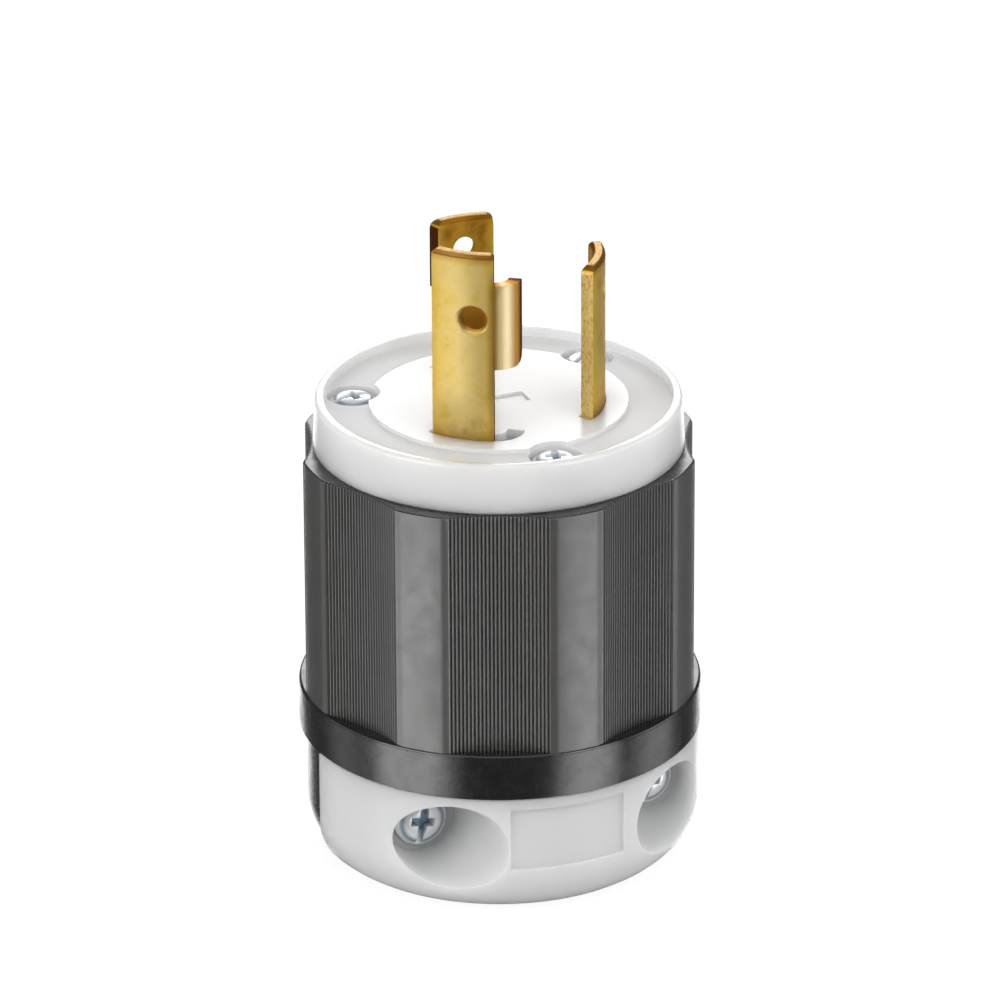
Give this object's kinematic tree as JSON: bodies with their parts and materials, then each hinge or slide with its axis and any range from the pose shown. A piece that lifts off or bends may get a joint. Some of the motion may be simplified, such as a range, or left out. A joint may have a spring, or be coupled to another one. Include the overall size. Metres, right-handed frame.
{
  "type": "locking power plug",
  "caption": "Twist-locking power plug with curved brass blades, a white nylon face, a fluted and ribbed black grip and a screwed cord clamp, standing on its cord end.",
  "frame": {"origin": "centre of the cord end's flat bottom, on the plug's axis", "axes": "+Z along the axis towards the blades, -Y through the removable half of the cord clamp"},
  "size_m": [0.0508, 0.0508, 0.085],
  "materials": {
    "black_nylon": "semi-gloss moulded nylon",
    "white_nylon": "gloss moulded nylon, slightly translucent",
    "block_nylon": "matte moulded nylon",
    "blade_brass": "rolled and stamped, lightly tarnished",
    "turned_brass": "turned",
    "zinc_steel": "zinc plated",
    "green_steel": "green dyed"
  },
  "bodies": {
    "root": {"shell": "black_nylon", "face_plate": "white_nylon", "contact_block": "block_nylon", "cord_clamp": "white_nylon", "ground_blade": "blade_brass", "line_blade_1": "blade_brass", "line_blade_2": "blade_brass", "pressure_plate_ground": "zinc_steel", "pressure_plate_line_1": "zinc_steel", "pressure_plate_line_2": "zinc_steel", "terminal_screw_ground": "green_steel", "terminal_screw_line_1": "turned_brass", "terminal_screw_line_2": "turned_brass", "assembly_screw_1": "zinc_steel", "threaded_insert_1": "turned_brass", "assembly_screw_2": "zinc_steel", "threaded_insert_2": "turned_brass", "assembly_screw_3": "zinc_steel", "threaded_insert_3": "turned_brass", "clamp_screw_1": "zinc_steel", "clamp_nut_1": "zinc_steel", "clamp_screw_2": "zinc_steel", "clamp_nut_2": "zinc_steel"}
  },
  "joints": []
}
